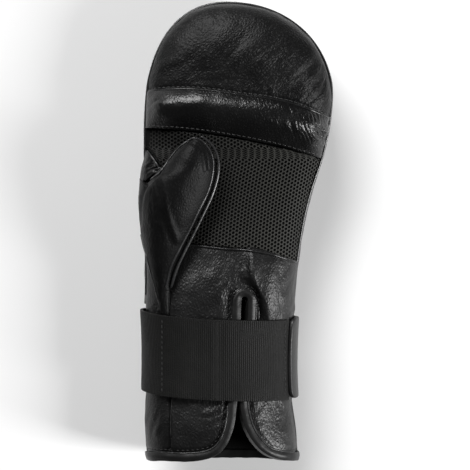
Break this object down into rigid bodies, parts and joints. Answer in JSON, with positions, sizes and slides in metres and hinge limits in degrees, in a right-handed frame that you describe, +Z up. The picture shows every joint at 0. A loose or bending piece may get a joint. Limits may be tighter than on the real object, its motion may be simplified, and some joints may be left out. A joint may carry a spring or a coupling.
{
  "type": "bag glove",
  "caption": "Left-hand leather bag mitt, palm up: channelled padded back, grip roll, perforated palm, free thumb, split cuff and wrist strap.",
  "frame": {"origin": "under the middle of the mitt, on the surface that its padded back rests on", "axes": "+Y from the cuff to the fingertips, +X from the thumb side to the little finger side, +Z up from the back to the palm"},
  "size_m": [0.1248, 0.289, 0.0824],
  "materials": {
    "leather": "soft black grained leather",
    "mesh": "black perforated spacer mesh",
    "binding": "smooth black leather tape",
    "elastic": "black ribbed elastic",
    "patch": "smooth black moulded patch, blank",
    "lining": "black brushed lining"
  },
  "bodies": {
    "root": {"back_pad": "leather", "cuff_back": "leather", "finger_hood": "leather", "grip_roll": "leather", "palm_mesh": "mesh", "heel_panel": "leather", "side_gusset": "leather", "thumb_stall": "leather", "thumb_welt": "binding", "thumb_web": "leather", "edge_binding": "binding", "elastic_band": "elastic", "strap_tab": "leather", "strap_patch": "patch", "cuff_lining": "lining"}
  },
  "joints": []
}
